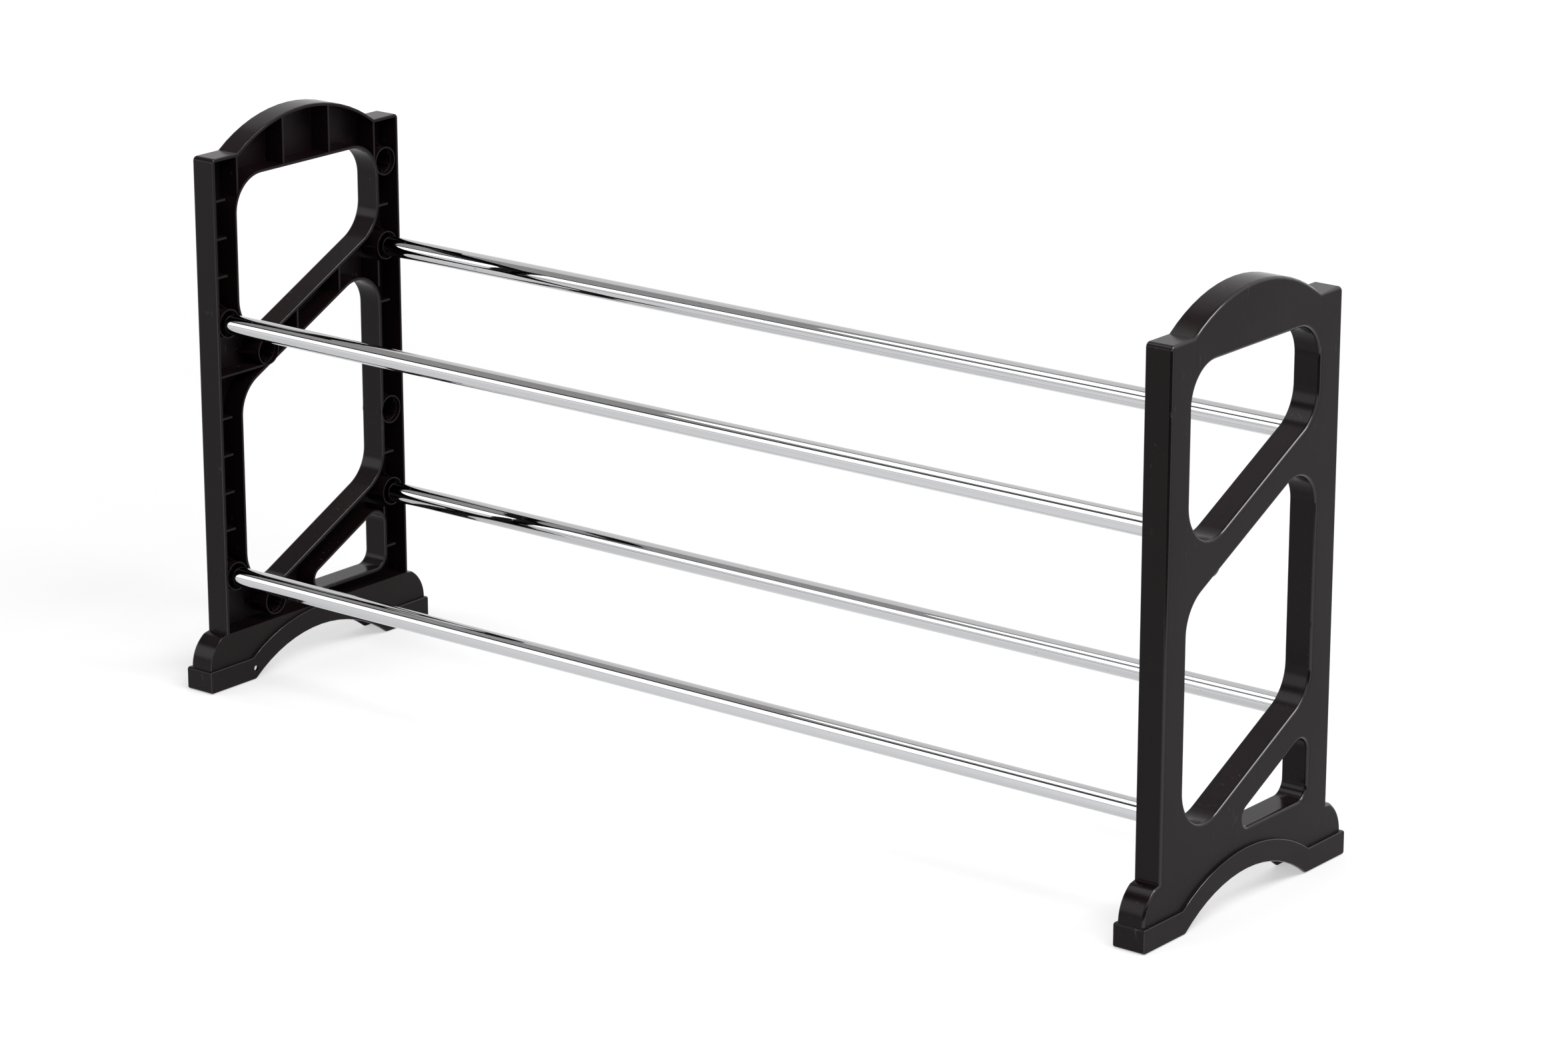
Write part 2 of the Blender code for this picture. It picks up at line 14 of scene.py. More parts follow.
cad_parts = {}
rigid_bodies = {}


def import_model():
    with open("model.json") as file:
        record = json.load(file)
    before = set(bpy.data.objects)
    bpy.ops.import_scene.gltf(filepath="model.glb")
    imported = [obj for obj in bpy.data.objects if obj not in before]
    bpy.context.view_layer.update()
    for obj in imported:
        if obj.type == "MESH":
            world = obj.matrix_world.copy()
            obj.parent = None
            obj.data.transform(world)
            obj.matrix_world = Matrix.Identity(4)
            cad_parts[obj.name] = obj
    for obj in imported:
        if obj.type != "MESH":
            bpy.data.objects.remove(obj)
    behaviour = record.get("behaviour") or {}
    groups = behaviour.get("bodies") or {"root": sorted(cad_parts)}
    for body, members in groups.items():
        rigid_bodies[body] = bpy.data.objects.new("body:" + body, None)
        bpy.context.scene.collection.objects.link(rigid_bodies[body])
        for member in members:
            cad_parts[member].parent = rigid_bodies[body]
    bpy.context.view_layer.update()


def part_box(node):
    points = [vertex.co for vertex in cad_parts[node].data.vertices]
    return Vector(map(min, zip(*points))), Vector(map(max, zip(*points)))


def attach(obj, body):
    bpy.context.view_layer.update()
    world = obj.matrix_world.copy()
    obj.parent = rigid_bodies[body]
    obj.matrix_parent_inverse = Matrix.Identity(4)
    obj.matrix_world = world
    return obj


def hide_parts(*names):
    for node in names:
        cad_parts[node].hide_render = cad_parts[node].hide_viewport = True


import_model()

LOG = logging.getLogger("shoe_rack")
BODY = "root"
PHOTO_WIDTH = 2353
MM = 0.001
ARC_STEP = math.radians(5.0)
SHARP_ANGLE = math.radians(32.0)
ROUND_STEPS = 6
WELD_DISTANCE = 0.01 * MM
MERGE_DISTANCE = 0.001 * MM

Number = Union[int, float]
Operand = Union["Value", Number]
Colour = tuple[float, float, float]
Rib = tuple[tuple[float, float], tuple[float, float]]
BLACK: Colour = (0.0, 0.0, 0.0)
WHITE: Colour = (1.0, 1.0, 1.0)


class Side(Enum):
    """End of the rack that a frame stands at."""

    LEFT = "end_frame_left"
    RIGHT = "end_frame_right"


class Place(Enum):
    """Tier and row of a tube."""

    UPPER_FRONT = "tube_upper_front"
    UPPER_BACK = "tube_upper_back"
    LOWER_FRONT = "tube_lower_front"
    LOWER_BACK = "tube_lower_back"


class LampShape(Enum):
    """Outline of a softbox."""

    OBLONG = "RECTANGLE"
    OVAL = "ELLIPSE"


# Shader maths

NOISE_ROUGHNESS = 0.55
NOISE_MIDDLE = 0.5
MIX_FIRST, MIX_SECOND, MIX_RESULT = 6, 7, 2


def opaque(colour: Colour) -> tuple[float, float, float, float]:
    """Colour with full alpha."""
    return (*colour, 1.0)


class Value:
    """A number that changes over a surface, written as ordinary arithmetic."""

    def __init__(self, graph: "Graph", socket: bpy.types.NodeSocket) -> None:
        """Wrap one output socket of a graph."""
        self.graph = graph
        self.socket = socket

    def _with(self, operation: str, left: Operand, right: Operand = 0.0) -> "Value":
        """Add a Math node for one operation."""
        return self.graph.node("ShaderNodeMath", {"operation": operation}, {0: left, 1: right})

    def __add__(self, other: Operand) -> "Value":
        """Sum."""
        return self._with("ADD", self, other)

    def __radd__(self, other: Operand) -> "Value":
        """Sum, with the number first."""
        return self._with("ADD", other, self)

    def __sub__(self, other: Operand) -> "Value":
        """Difference."""
        return self._with("SUBTRACT", self, other)

    def __rsub__(self, other: Operand) -> "Value":
        """Difference, with the number first."""
        return self._with("SUBTRACT", other, self)

    def __mul__(self, other: Operand) -> "Value":
        """Product."""
        return self._with("MULTIPLY", self, other)

    def __rmul__(self, other: Operand) -> "Value":
        """Product, with the number first."""
        return self._with("MULTIPLY", other, self)

    def __abs__(self) -> "Value":
        """Size without sign."""
        return self._with("ABSOLUTE", self)

    def above(self, limit: Number, blur: Number) -> "Value":
        """Mask that rises smoothly from 0 to 1 around a limit.

        Args:
            limit: Value at which the mask is one half.
            blur: Distance over which the mask rises.

        Returns:
            The mask.
        """
        settings = {"interpolation_type": "SMOOTHSTEP"}
        sockets = {"Value": self, "From Min": limit - blur / 2, "From Max": limit + blur / 2}
        return self.graph.node("ShaderNodeMapRange", settings, sockets)


class Graph:
    """Node tree of one material or world."""

    def __init__(self, tree: bpy.types.NodeTree) -> None:
        """Start with an empty tree."""
        self.tree = tree
        tree.nodes.clear()

    def add(self, kind: str, settings: dict, sockets: dict) -> bpy.types.Node:
        """Add a node.

        Args:
            kind: Node type.
            settings: Node properties, set first.
            sockets: Input values or links, by socket name or number.

        Returns:
            The node.
        """
        made = self.tree.nodes.new(kind)
        for name, setting in settings.items():
            setattr(made, name, setting)
        for name, value in sockets.items():
            if isinstance(value, Value):
                self.tree.links.new(value.socket, made.inputs[name])
            else:
                made.inputs[name].default_value = value
        return made

    def node(self, kind: str, settings: dict, sockets: dict, output: Union[int, str] = 0) -> Value:
        """Add a node and wrap one of its outputs."""
        return Value(self, self.add(kind, settings, sockets).outputs[output])

    def place(self) -> Value:
        """Position on the object, in metres."""
        return self.node("ShaderNodeTexCoord", {}, {}, "Object")

    def parts(self, vector: Value) -> tuple[Value, Value, Value]:
        """Split a vector into its three numbers."""
        x, y, z = self.add("ShaderNodeSeparateXYZ", {}, {0: vector}).outputs
        return Value(self, x), Value(self, y), Value(self, z)

    def stretched(self, vector: Value, by: Sequence[Number]) -> Value:
        """Multiply a vector by three numbers."""
        return self.node("ShaderNodeVectorMath", {"operation": "MULTIPLY"}, {0: vector, 1: tuple(by)})

    def length(self, vector: Value) -> Value:
        """Length of a vector."""
        return self.node("ShaderNodeVectorMath", {"operation": "LENGTH"}, {0: vector}, "Value")

    def noise(self, vector: Value, scale: Number, detail: Number) -> Value:
        """Soft random field around one half.

        Args:
            vector: Position.
            scale: Waves per metre.
            detail: Number of finer waves on top.

        Returns:
            The field.
        """
        settings = {"noise_dimensions": "3D", "normalize": True}
        sockets = {"Vector": vector, "Scale": scale, "Detail": detail, "Roughness": NOISE_ROUGHNESS}
        return self.node("ShaderNodeTexNoise", settings, sockets)

    def blend(self, mask: Value, first: Colour, second: Colour) -> Value:
        """Mix two colours by a mask.

        Args:
            mask: 0 for the first colour, 1 for the second.
            first: Colour where the mask is 0.
            second: Colour where the mask is 1.

        Returns:
            The mixed colour.
        """
        sockets = {"Factor": mask, MIX_FIRST: opaque(first), MIX_SECOND: opaque(second)}
        return self.node("ShaderNodeMix", {"data_type": "RGBA"}, sockets, MIX_RESULT)

    def seen(self) -> Value:
        """Mask of the rays that show the surroundings directly, in a mirror or through glass.

        Returns:
            The mask.
        """
        kinds = ("Is Camera Ray", "Is Glossy Ray", "Is Transmission Ray")
        paths = self.add("ShaderNodeLightPath", {}, {}).outputs
        camera, glossy, through = (Value(self, paths[kind]) for kind in kinds)
        return camera + glossy + through

    def bump(
        self, height: Value, strength: Number, distance: Number, normal: Optional[Value] = None
    ) -> Value:
        """Turn a height field into a surface normal.

        Args:
            height: Height field.
            strength: Share of the effect.
            distance: Depth in metres of a height of one.
            normal: Normal to start from.

        Returns:
            The bent normal.
        """
        sockets = {"Height": height, "Strength": strength, "Distance": distance}
        if normal is not None:
            sockets["Normal"] = normal
        return self.node("ShaderNodeBump", {}, sockets)

    def surface(self, sockets: dict) -> None:
        """Finish the tree with a Principled surface."""
        shader = self.node("ShaderNodeBsdfPrincipled", {}, sockets)
        self.add("ShaderNodeOutputMaterial", {}, {"Surface": shader})


def new_material(name: str) -> tuple[bpy.types.Material, Graph]:
    """Start a node material.

    Args:
        name: Name of the finish.

    Returns:
        The material and its empty graph.
    """
    material = bpy.data.materials.new(name)
    material.use_nodes = True
    return material, Graph(material.node_tree)


# Finishes


@dataclass(frozen=True)
class Spots:
    """Scattered spots, where a random field passes a limit."""

    scale: float
    detail: float
    limit: float
    blur: float

    def mask(self, graph: Graph, place: Value) -> Value:
        """Mask of the spots at a position."""
        return graph.noise(place, self.scale, self.detail).above(self.limit, self.blur)


@dataclass(frozen=True)
class BlackMoulding:
    """Black moulded plastic: grained outer sheet, smoother edges, faint sink marks and scuffs."""

    colour: Colour = (0.0056, 0.0028, 0.0034)
    scuff_colour: Colour = (0.035, 0.033, 0.033)
    sheet_roughness: float = 0.44
    edge_roughness: float = 0.20
    cloud_roughness: float = 0.12
    scuff_roughness: float = 0.15
    gloss: float = 0.12
    sheet_limit: float = 0.81
    sheet_blur: float = 0.18
    cloud_scale: float = 14.0
    fine_detail: float = 3.0
    grain: float = 0.55 * MM
    grain_depth: float = 0.05 * MM
    wall_grain: float = 0.25
    edge_radius: float = 0.45 * MM
    edge_samples: int = 6
    round_gloss: float = 0.8
    round_roughness: float = 0.12
    wave: float = 11.0 * MM
    wave_detail: float = 1.0
    wave_depth: float = 0.05 * MM
    sink_width: float = 2.4 * MM
    sink_depth: float = 0.02 * MM
    sink_fade: float = 4.0 * MM
    specks: Spots = Spots(620.0, 1.0, 0.76, 0.05)
    speck_strength: float = 0.42
    rubs: Spots = Spots(240.0, 2.0, 0.68, 0.06)
    rub_stretch: tuple[float, float, float] = (1.0, 3.0, 0.5)
    rub_strength: float = 0.7
    patches: Spots = Spots(22.0, 1.0, 0.60, 0.12)

    def material(self, name: str, sinks: Iterable[tuple[float, float, float]]) -> bpy.types.Material:
        """Make the finish of one frame.

        Args:
            name: Name of the material.
            sinks: Depth along Y and lowest and highest Z of each rib behind the outer sheet.

        Returns:
            The material.
        """
        material, graph = new_material(name)
        place = graph.place()
        _, y, z = graph.parts(place)
        across = self._across(graph)
        sheet = across.above(self.sheet_limit, self.sheet_blur)
        # The product is a quarter at most, half-way round an edge
        rounds = across * (1.0 - across) * 4.0
        grain = graph.noise(place, 1.0 / self.grain, self.fine_detail)
        cloud = graph.noise(place, self.cloud_scale, self.fine_detail)
        scuffs = self._scuffs(graph, place)
        roughness = self.edge_roughness + sheet * (self.sheet_roughness - self.edge_roughness)
        roughness = roughness + (cloud - NOISE_MIDDLE) * self.cloud_roughness
        roughness = roughness + scuffs * self.scuff_roughness
        height = grain * (self.wall_grain + (1.0 - self.wall_grain) * sheet) * self.grain_depth
        waves = graph.noise(place, 1.0 / self.wave, self.wave_detail)
        height = height + waves * (1.0 - sheet) * self.wave_depth
        for sink_y, low, high in sinks:
            height = height - self._sink(y, z, sink_y, low, high) * sheet * self.sink_depth
        edges = graph.node("ShaderNodeBevel", {"samples": self.edge_samples}, {"Radius": self.edge_radius})
        graph.surface(
            {
                "Base Color": graph.blend(scuffs, self.colour, self.scuff_colour),
                "Roughness": roughness,
                "Specular IOR Level": self.gloss,
                "Coat Weight": rounds * self.round_gloss,
                "Coat Roughness": self.round_roughness,
                "Normal": graph.bump(height, strength=1.0, distance=1.0, normal=edges),
            }
        )
        return material

    @staticmethod
    def _across(graph: Graph) -> Value:
        """How far a face looks along X: 1 on the sheet, 0 on the walls, between them on the rounds."""
        across = graph.parts(graph.node("ShaderNodeNewGeometry", {}, {}, "Normal"))[0]
        return across * across

    def _scuffs(self, graph: Graph, place: Value) -> Value:
        """Mask of a few small pale scuffs and specks.

        Args:
            graph: Graph of the finish.
            place: Position on the frame.

        Returns:
            The mask.
        """
        rubs = self.rubs.mask(graph, graph.stretched(place, self.rub_stretch))
        rubs = rubs * self.patches.mask(graph, place)
        return self.specks.mask(graph, place) * self.speck_strength + rubs * self.rub_strength

    def _sink(self, y: Value, z: Value, centre: float, low: float, high: float) -> Value:
        """Shallow upright groove where a rib stands behind the sheet."""
        across = 1.0 - abs(y - centre).above(self.sink_width / 2, self.sink_width)
        return across * z.above(low, self.sink_fade) * (1.0 - z.above(high, self.sink_fade))


@dataclass(frozen=True)
class ChromePlate:
    """Bright chrome plate on drawn tube, with faint drawing lines and a few specks."""

    colour: Colour = (0.510, 0.512, 0.522)
    speck_colour: Colour = (0.30, 0.29, 0.28)
    roughness: float = 0.035
    specks: Spots = Spots(480.0, 1.0, 0.79, 0.04)
    speck_roughness: float = 0.2
    haze_scale: float = 60.0
    haze_detail: float = 3.0
    haze_stretch: tuple[float, float, float] = (0.4, 1.0, 1.0)
    haze_roughness: float = 0.03
    line_scale: float = 1500.0
    line_detail: float = 2.0
    line_stretch: tuple[float, float, float] = (0.01, 1.0, 1.0)
    line_strength: float = 0.01
    line_depth: float = 0.02 * MM

    def material(self, name: str) -> bpy.types.Material:
        """Make the finish of one tube.

        Args:
            name: Name of the material.

        Returns:
            The material.
        """
        material, graph = new_material(name)
        place = graph.place()
        lines = graph.noise(graph.stretched(place, self.line_stretch), self.line_scale, self.line_detail)
        haze = graph.noise(graph.stretched(place, self.haze_stretch), self.haze_scale, self.haze_detail)
        specks = self.specks.mask(graph, place)
        roughness = self.roughness + (haze - NOISE_MIDDLE) * self.haze_roughness
        graph.surface(
            {
                "Base Color": graph.blend(specks, self.colour, self.speck_colour),
                "Metallic": 1.0,
                "Roughness": roughness + specks * self.speck_roughness,
                "Normal": graph.bump(lines, self.line_strength, self.line_depth),
            }
        )
        return material


@dataclass(frozen=True)
class PaleFloor:
    """Matt white floor that keeps the shadow of the rack."""

    colour: Colour = (0.46, 0.46, 0.46)
    near_lift: float = 0.50
    far_lift: float = 0.80
    lift_middle: float = 1.7
    lift_blur: float = 2.6
    roughness: float = 0.75
    cloud_scale: float = 3.0
    cloud_detail: float = 2.0
    cloud_roughness: float = 0.05

    def material(self, name: str) -> bpy.types.Material:
        """Make a finish that is lifted to white where it is seen or mirrored, more so far away.

        Args:
            name: Name of the material.

        Returns:
            The material.
        """
        material, graph = new_material(name)
        place = graph.place()
        cloud = graph.noise(place, self.cloud_scale, self.cloud_detail)
        far = graph.length(place).above(self.lift_middle, self.lift_blur)
        lift = graph.seen() * (self.near_lift + far * (self.far_lift - self.near_lift))
        graph.surface(
            {
                "Base Color": opaque(self.colour),
                "Roughness": self.roughness + (cloud - NOISE_MIDDLE) * self.cloud_roughness,
                "Emission Color": graph.blend(lift, BLACK, WHITE),
                "Emission Strength": 1.0,
            }
        )
        return material


@dataclass(frozen=True)
class MattCard:
    """Matt grey card of the studio, which may glow a little, less so towards its left end."""

    colour: Colour
    glow: float = 0.0
    glow_edge: float = -0.2
    glow_blur: float = 1.0
    roughness: float = 0.9

    def material(self, name: str) -> bpy.types.Material:
        """Make the card's finish.

        Args:
            name: Name of the material.

        Returns:
            The material.
        """
        material, graph = new_material(name)
        x, _, _ = graph.parts(graph.place())
        glowing = x.above(self.glow_edge, self.glow_blur)
        graph.surface(
            {
                "Base Color": opaque(self.colour),
                "Roughness": self.roughness,
                "Emission Color": graph.blend(glowing, BLACK, self.colour),
                "Emission Strength": self.glow,
            }
        )
        return material


# Outlines and solids


@dataclass(frozen=True)
class Corner:
    """Point of an outline in the side view, with the radius that rounds it."""

    y: float
    z: float
    radius: float = 0.0

    @property
    def spot(self) -> Vector:
        """The point as a vector."""
        return Vector((self.y, self.z))

    def mirrored(self) -> "Corner":
        """The same point on the other side of mid depth."""
        return Corner(-self.y, self.z, self.radius)


def arc(centre: Vector, radius: float, start: float, end: float) -> list[Corner]:
    """Points of an arc, ends included.

    Args:
        centre: Centre in the side view.
        radius: Radius.
        start: First angle.
        end: Last angle.

    Returns:
        The points, an odd number of them.
    """
    steps = 2 * math.ceil(abs(end - start) / ARC_STEP / 2)
    angles = [start + (end - start) * i / steps for i in range(steps + 1)]
    return [Corner(centre.x + radius * math.cos(a), centre.y + radius * math.sin(a)) for a in angles]


def arch(radius: float, centre_z: float, z: float) -> list[Corner]:
    """Arc over mid depth, from its front point at height z to its back one."""
    swing = math.atan2(z - centre_z, reach_at(radius, centre_z, z))
    return arc(Vector((0.0, centre_z)), radius, math.pi - swing, swing)


def reach_at(radius: float, centre_z: float, z: float) -> float:
    """Depth at which a circle centred on mid depth reaches the height z."""
    return math.sqrt(radius**2 - (z - centre_z) ** 2)


@dataclass(frozen=True)
class Outline:
    """Closed outline in the side view."""

    corners: tuple[Corner, ...]

    def points(self) -> list[Vector]:
        """Round the corners and list the points in order.

        Returns:
            The points.
        """
        points: list[Vector] = []
        for i, corner in enumerate(self.corners):
            if corner.radius == 0.0:
                points.append(corner.spot)
                continue
            before = (self.corners[i - 1].spot - corner.spot).normalized()
            after = (self.corners[(i + 1) % len(self.corners)].spot - corner.spot).normalized()
            points.extend(self._round(corner, before, after))
        return points

    @staticmethod
    def _round(corner: Corner, before: Vector, after: Vector) -> Iterator[Vector]:
        """Arc that rounds one corner.

        Args:
            corner: The corner.
            before: Direction to the point before it.
            after: Direction to the point after it.

        Returns:
            The points of the arc.
        """
        half = before.angle(after) / 2
        centre = corner.spot + (before + after).normalized() * (corner.radius / math.sin(half))
        start = corner.spot + before * (corner.radius / math.tan(half)) - centre
        end = corner.spot + after * (corner.radius / math.tan(half)) - centre
        turn = math.atan2(start.x * end.y - start.y * end.x, start.dot(end))
        first = math.atan2(start.y, start.x)
        for point in arc(centre, corner.radius, first, first + turn):
            yield point.spot

    def grown(self, distance: float) -> "Outline":
        """Move every edge of a convex outline outwards.

        Args:
            distance: How far the edges move.

        Returns:
            The larger outline, with its round corners concentric.
        """
        spots = [corner.spot for corner in self.corners]
        middle = sum(spots, Vector((0.0, 0.0))) / len(spots)
        edges = []
        for i, start in enumerate(spots):
            along = (spots[(i + 1) % len(spots)] - start).normalized()
            normal = Vector((along.y, -along.x))
            if normal.dot(start - middle) < 0.0:
                normal = -normal
            edges.append((start + normal * distance, along))
        grown = []
        for i, corner in enumerate(self.corners):
            (p, d), (q, e) = edges[i - 1], edges[i]
            spot = p + d * ((q - p).cross(e) / d.cross(e))
            grown.append(Corner(spot.x, spot.y, corner.radius + distance))
        return Outline(tuple(grown))


def moved_in(points: Sequence[Vector], distance: float) -> list[Vector]:
    """Move every edge of a closed outline inwards.

    Args:
        points: Points of the outline in order.
        distance: How far the edges move; outwards where it is negative.

    Returns:
        The moved points.
    """
    count = len(points)
    turn = math.copysign(1.0, sum(points[i - 1].cross(points[i]) for i in range(count)))
    moved = []
    for i, here in enumerate(points):
        before = (here - points[i - 1]).normalized()
        after = (points[(i + 1) % count] - here).normalized()
        first = Vector((-before.y, before.x)) * turn
        second = Vector((-after.y, after.x)) * turn
        moved.append(here + (first + second) * (distance / (1.0 + first.dot(second))))
    return moved


def edge_layers(face: float, inwards: float, radius: float) -> list[tuple[float, float]]:
    """Layers of a rounded edge, from its face on.

    Args:
        face: Place of the face along X.
        inwards: Sign of the way into the solid.
        radius: Radius of the round, or zero.

    Returns:
        Place along X and distance that the outline moves in, for each layer.
    """
    steps = ROUND_STEPS if radius else 0
    turns = [math.pi / 2 * (1.0 - i / max(steps, 1)) for i in range(steps)] + [0.0]
    return [(face + inwards * radius * (1.0 - math.sin(a)), radius * (1.0 - math.cos(a))) for a in turns]


def circle(centre: Vector, radius: float) -> Outline:
    """Round outline."""
    return Outline(tuple(arc(centre, radius, 0.0, 2 * math.pi)[:-1]))


def strip(start: Sequence[float], end: Sequence[float], width: float) -> Outline:
    """Outline of a straight rib between two points.

    Args:
        start: First point.
        end: Last point.
        width: Width of the rib.

    Returns:
        The outline.
    """
    a, b = Vector(start), Vector(end)
    across = (b - a).normalized().orthogonal() * (width / 2)
    return Outline(tuple(Corner(*spot) for spot in (a + across, b + across, b - across, a - across)))


def add_object(name: str, work: bmesh.types.BMesh) -> bpy.types.Object:
    """Turn finished mesh work into an object of the scene.

    Args:
        name: Name of the object.
        work: Mesh work, which is used up.

    Returns:
        The object.
    """
    bmesh.ops.recalc_face_normals(work, faces=work.faces)
    mesh = bpy.data.meshes.new(name)
    work.to_mesh(mesh)
    work.free()
    item = bpy.data.objects.new(name, mesh)
    bpy.context.scene.collection.objects.link(item)
    return item


def swept(work: bmesh.types.BMesh, faces: list, shift: Vector) -> None:
    """Sweep flat faces along a vector into a closed solid.

    Args:
        work: Mesh work that holds the faces.
        faces: The faces.
        shift: Length and way of the sweep.
    """
    sides = bmesh.ops.extrude_face_region(work, geom=faces)["geom"]
    moved = [part for part in sides if isinstance(part, bmesh.types.BMVert)]
    bmesh.ops.translate(work, verts=moved, vec=shift)


def prism(
    name: str,
    outlines: Sequence[Outline],
    near: float,
    far: float,
    near_round: float = 0.0,
    far_round: float = 0.0,
) -> bpy.types.Object:
    """Solid between two places along X, from a flat outline and its holes.

    Args:
        name: Name of the object.
        outlines: Outer outline, then the holes in it.
        near: Lower X.
        far: Higher X.
        near_round: Radius of the edges at the lower X.
        far_round: Radius of the edges at the higher X.

    Returns:
        The object.
    """
    layers = edge_layers(near, 1.0, near_round) + edge_layers(far, -1.0, far_round)[::-1]
    work = bmesh.new()
    caps: tuple[list, list] = ([], [])
    for outline in outlines:
        points = outline.points()
        inwards = 1.0 if outline is outlines[0] else -1.0
        loops = []
        for x, inset in layers:
            loops.append([work.verts.new((x, *spot)) for spot in moved_in(points, inwards * inset)])
        for low, high in zip(loops, loops[1:]):
            for i in range(len(points)):
                work.faces.new((low[i - 1], low[i], high[i], high[i - 1]))
        for cap, loop in zip(caps, (loops[0], loops[-1])):
            cap.extend(work.edges.get((loop[i - 1], vert)) for i, vert in enumerate(loop))
    for cap in caps:
        bmesh.ops.triangle_fill(work, use_beauty=True, edges=cap)
    return add_object(name, work)


# Sub-assemblies of the end frame, all measured from the outer sheet of the left-hand frame


@dataclass(frozen=True)
class Panel:
    """Posts, arch, sloping bars and the windows between them."""

    sheet_x: float
    top: float
    thickness: float = 17.6 * MM
    span: float = 168.0 * MM
    arch_rise: float = 20.0 * MM
    post_shelf: float = 22.0 * MM
    sheet: float = 2.0 * MM
    wall: float = 2.0 * MM
    sheet_round: float = 2.2 * MM
    rim_round: float = 0.8 * MM
    post_corner: float = 3.0 * MM
    front_post: float = 20.5 * MM
    back_post: float = 21.5 * MM
    top_rail: float = 15.8 * MM
    top_window_height: float = 84.6 * MM
    bar_slope: float = math.radians(26.5)
    bar_depth: float = 20.3 * MM
    lower_bar_top: float = 76.6 * MM
    small_sill: float = 44.7 * MM
    tray_floor: float = 35.0 * MM
    top_corners: tuple[float, ...] = (24.0 * MM, 25.0 * MM, 21.5 * MM, 22.5 * MM)
    middle_corners: tuple[float, ...] = (24.0 * MM, 25.0 * MM, 20.0 * MM, 25.0 * MM)
    small_corners: tuple[float, ...] = (6.3 * MM, 8.5 * MM, 9.0 * MM)

    @property
    def half_span(self) -> float:
        """Mid depth to the face of a post."""
        return self.span / 2

    @property
    def post_top(self) -> float:
        """Height of the flat post tops."""
        return self.top - self.arch_rise

    @property
    def window_top(self) -> float:
        """Height of the top window's upper edge."""
        return self.post_top - self.top_rail

    @property
    def tier_pitch(self) -> float:
        """Height from one tier to the next."""
        return self.window_top - self.top_window_height - self.lower_bar_top

    @property
    def arch_chord(self) -> float:
        """Half the width of the arch at the post tops."""
        return self.half_span - self.post_shelf

    @property
    def arch_radius(self) -> float:
        """Radius of the arch."""
        return (self.arch_chord**2 + self.arch_rise**2) / (2 * self.arch_rise)

    @property
    def arch_centre(self) -> float:
        """Height of the arch's centre."""
        return self.top - self.arch_radius

    @property
    def window_front(self) -> float:
        """Front edge of the windows."""
        return -self.half_span + self.front_post

    @property
    def window_back(self) -> float:
        """Back edge of the windows."""
        return self.half_span - self.back_post

    def x_at(self, depth: float) -> float:
        """Place along X of a depth measured inwards from the outer sheet."""
        return self.sheet_x + depth

    def bar_edge(self, height: float, y: float) -> float:
        """Height at depth y of a sloping edge that has the given height at mid depth."""
        return height + y * math.tan(self.bar_slope)

    def windows(self) -> list[Outline]:
        """Top, middle and small window.

        Returns:
            Their outlines, each from its lower front corner on.
        """
        front, back = self.window_front, self.window_back
        sill = self.lower_bar_top + self.tier_pitch
        head = sill - self.bar_depth
        low_head = self.lower_bar_top - self.bar_depth
        tip = (self.small_sill - low_head) / math.tan(self.bar_slope)
        top = (
            (front, self.bar_edge(sill, front)),
            (back, self.bar_edge(sill, back)),
            (back, self.window_top),
            (front, self.window_top),
        )
        middle = (
            (front, self.bar_edge(self.lower_bar_top, front)),
            (back, self.bar_edge(self.lower_bar_top, back)),
            (back, self.bar_edge(head, back)),
            (front, self.bar_edge(head, front)),
        )
        small = ((tip, self.small_sill), (back, self.small_sill), (back, self.bar_edge(low_head, back)))
        shapes = ((top, self.top_corners), (middle, self.middle_corners), (small, self.small_corners))
        return [Outline(tuple(Corner(*spot, radius) for spot, radius in zip(*shape))) for shape in shapes]

    def crown(self, inset: float) -> list[Corner]:
        """Post tops and arch, front to back, moved in by an inset.

        Args:
            inset: How far they move in.

        Returns:
            The corners.
        """
        edge, top = self.half_span - inset, self.post_top - inset
        corner = max(self.post_corner - inset, 0.0)
        curve = arch(self.arch_radius - inset, self.arch_centre, top)
        return [Corner(-edge, top, corner), *curve, Corner(edge, top, corner)]

    def tray(self) -> list[Outline]:
        """Hollow of the tray, with the window walls left standing.

        Returns:
            Its outline, then one for each window wall.
        """
        edge = self.half_span - self.wall
        rim = (Corner(-edge, self.tray_floor), *self.crown(self.wall), Corner(edge, self.tray_floor))
        return [Outline(rim), *(window.grown(self.wall) for window in self.windows())]


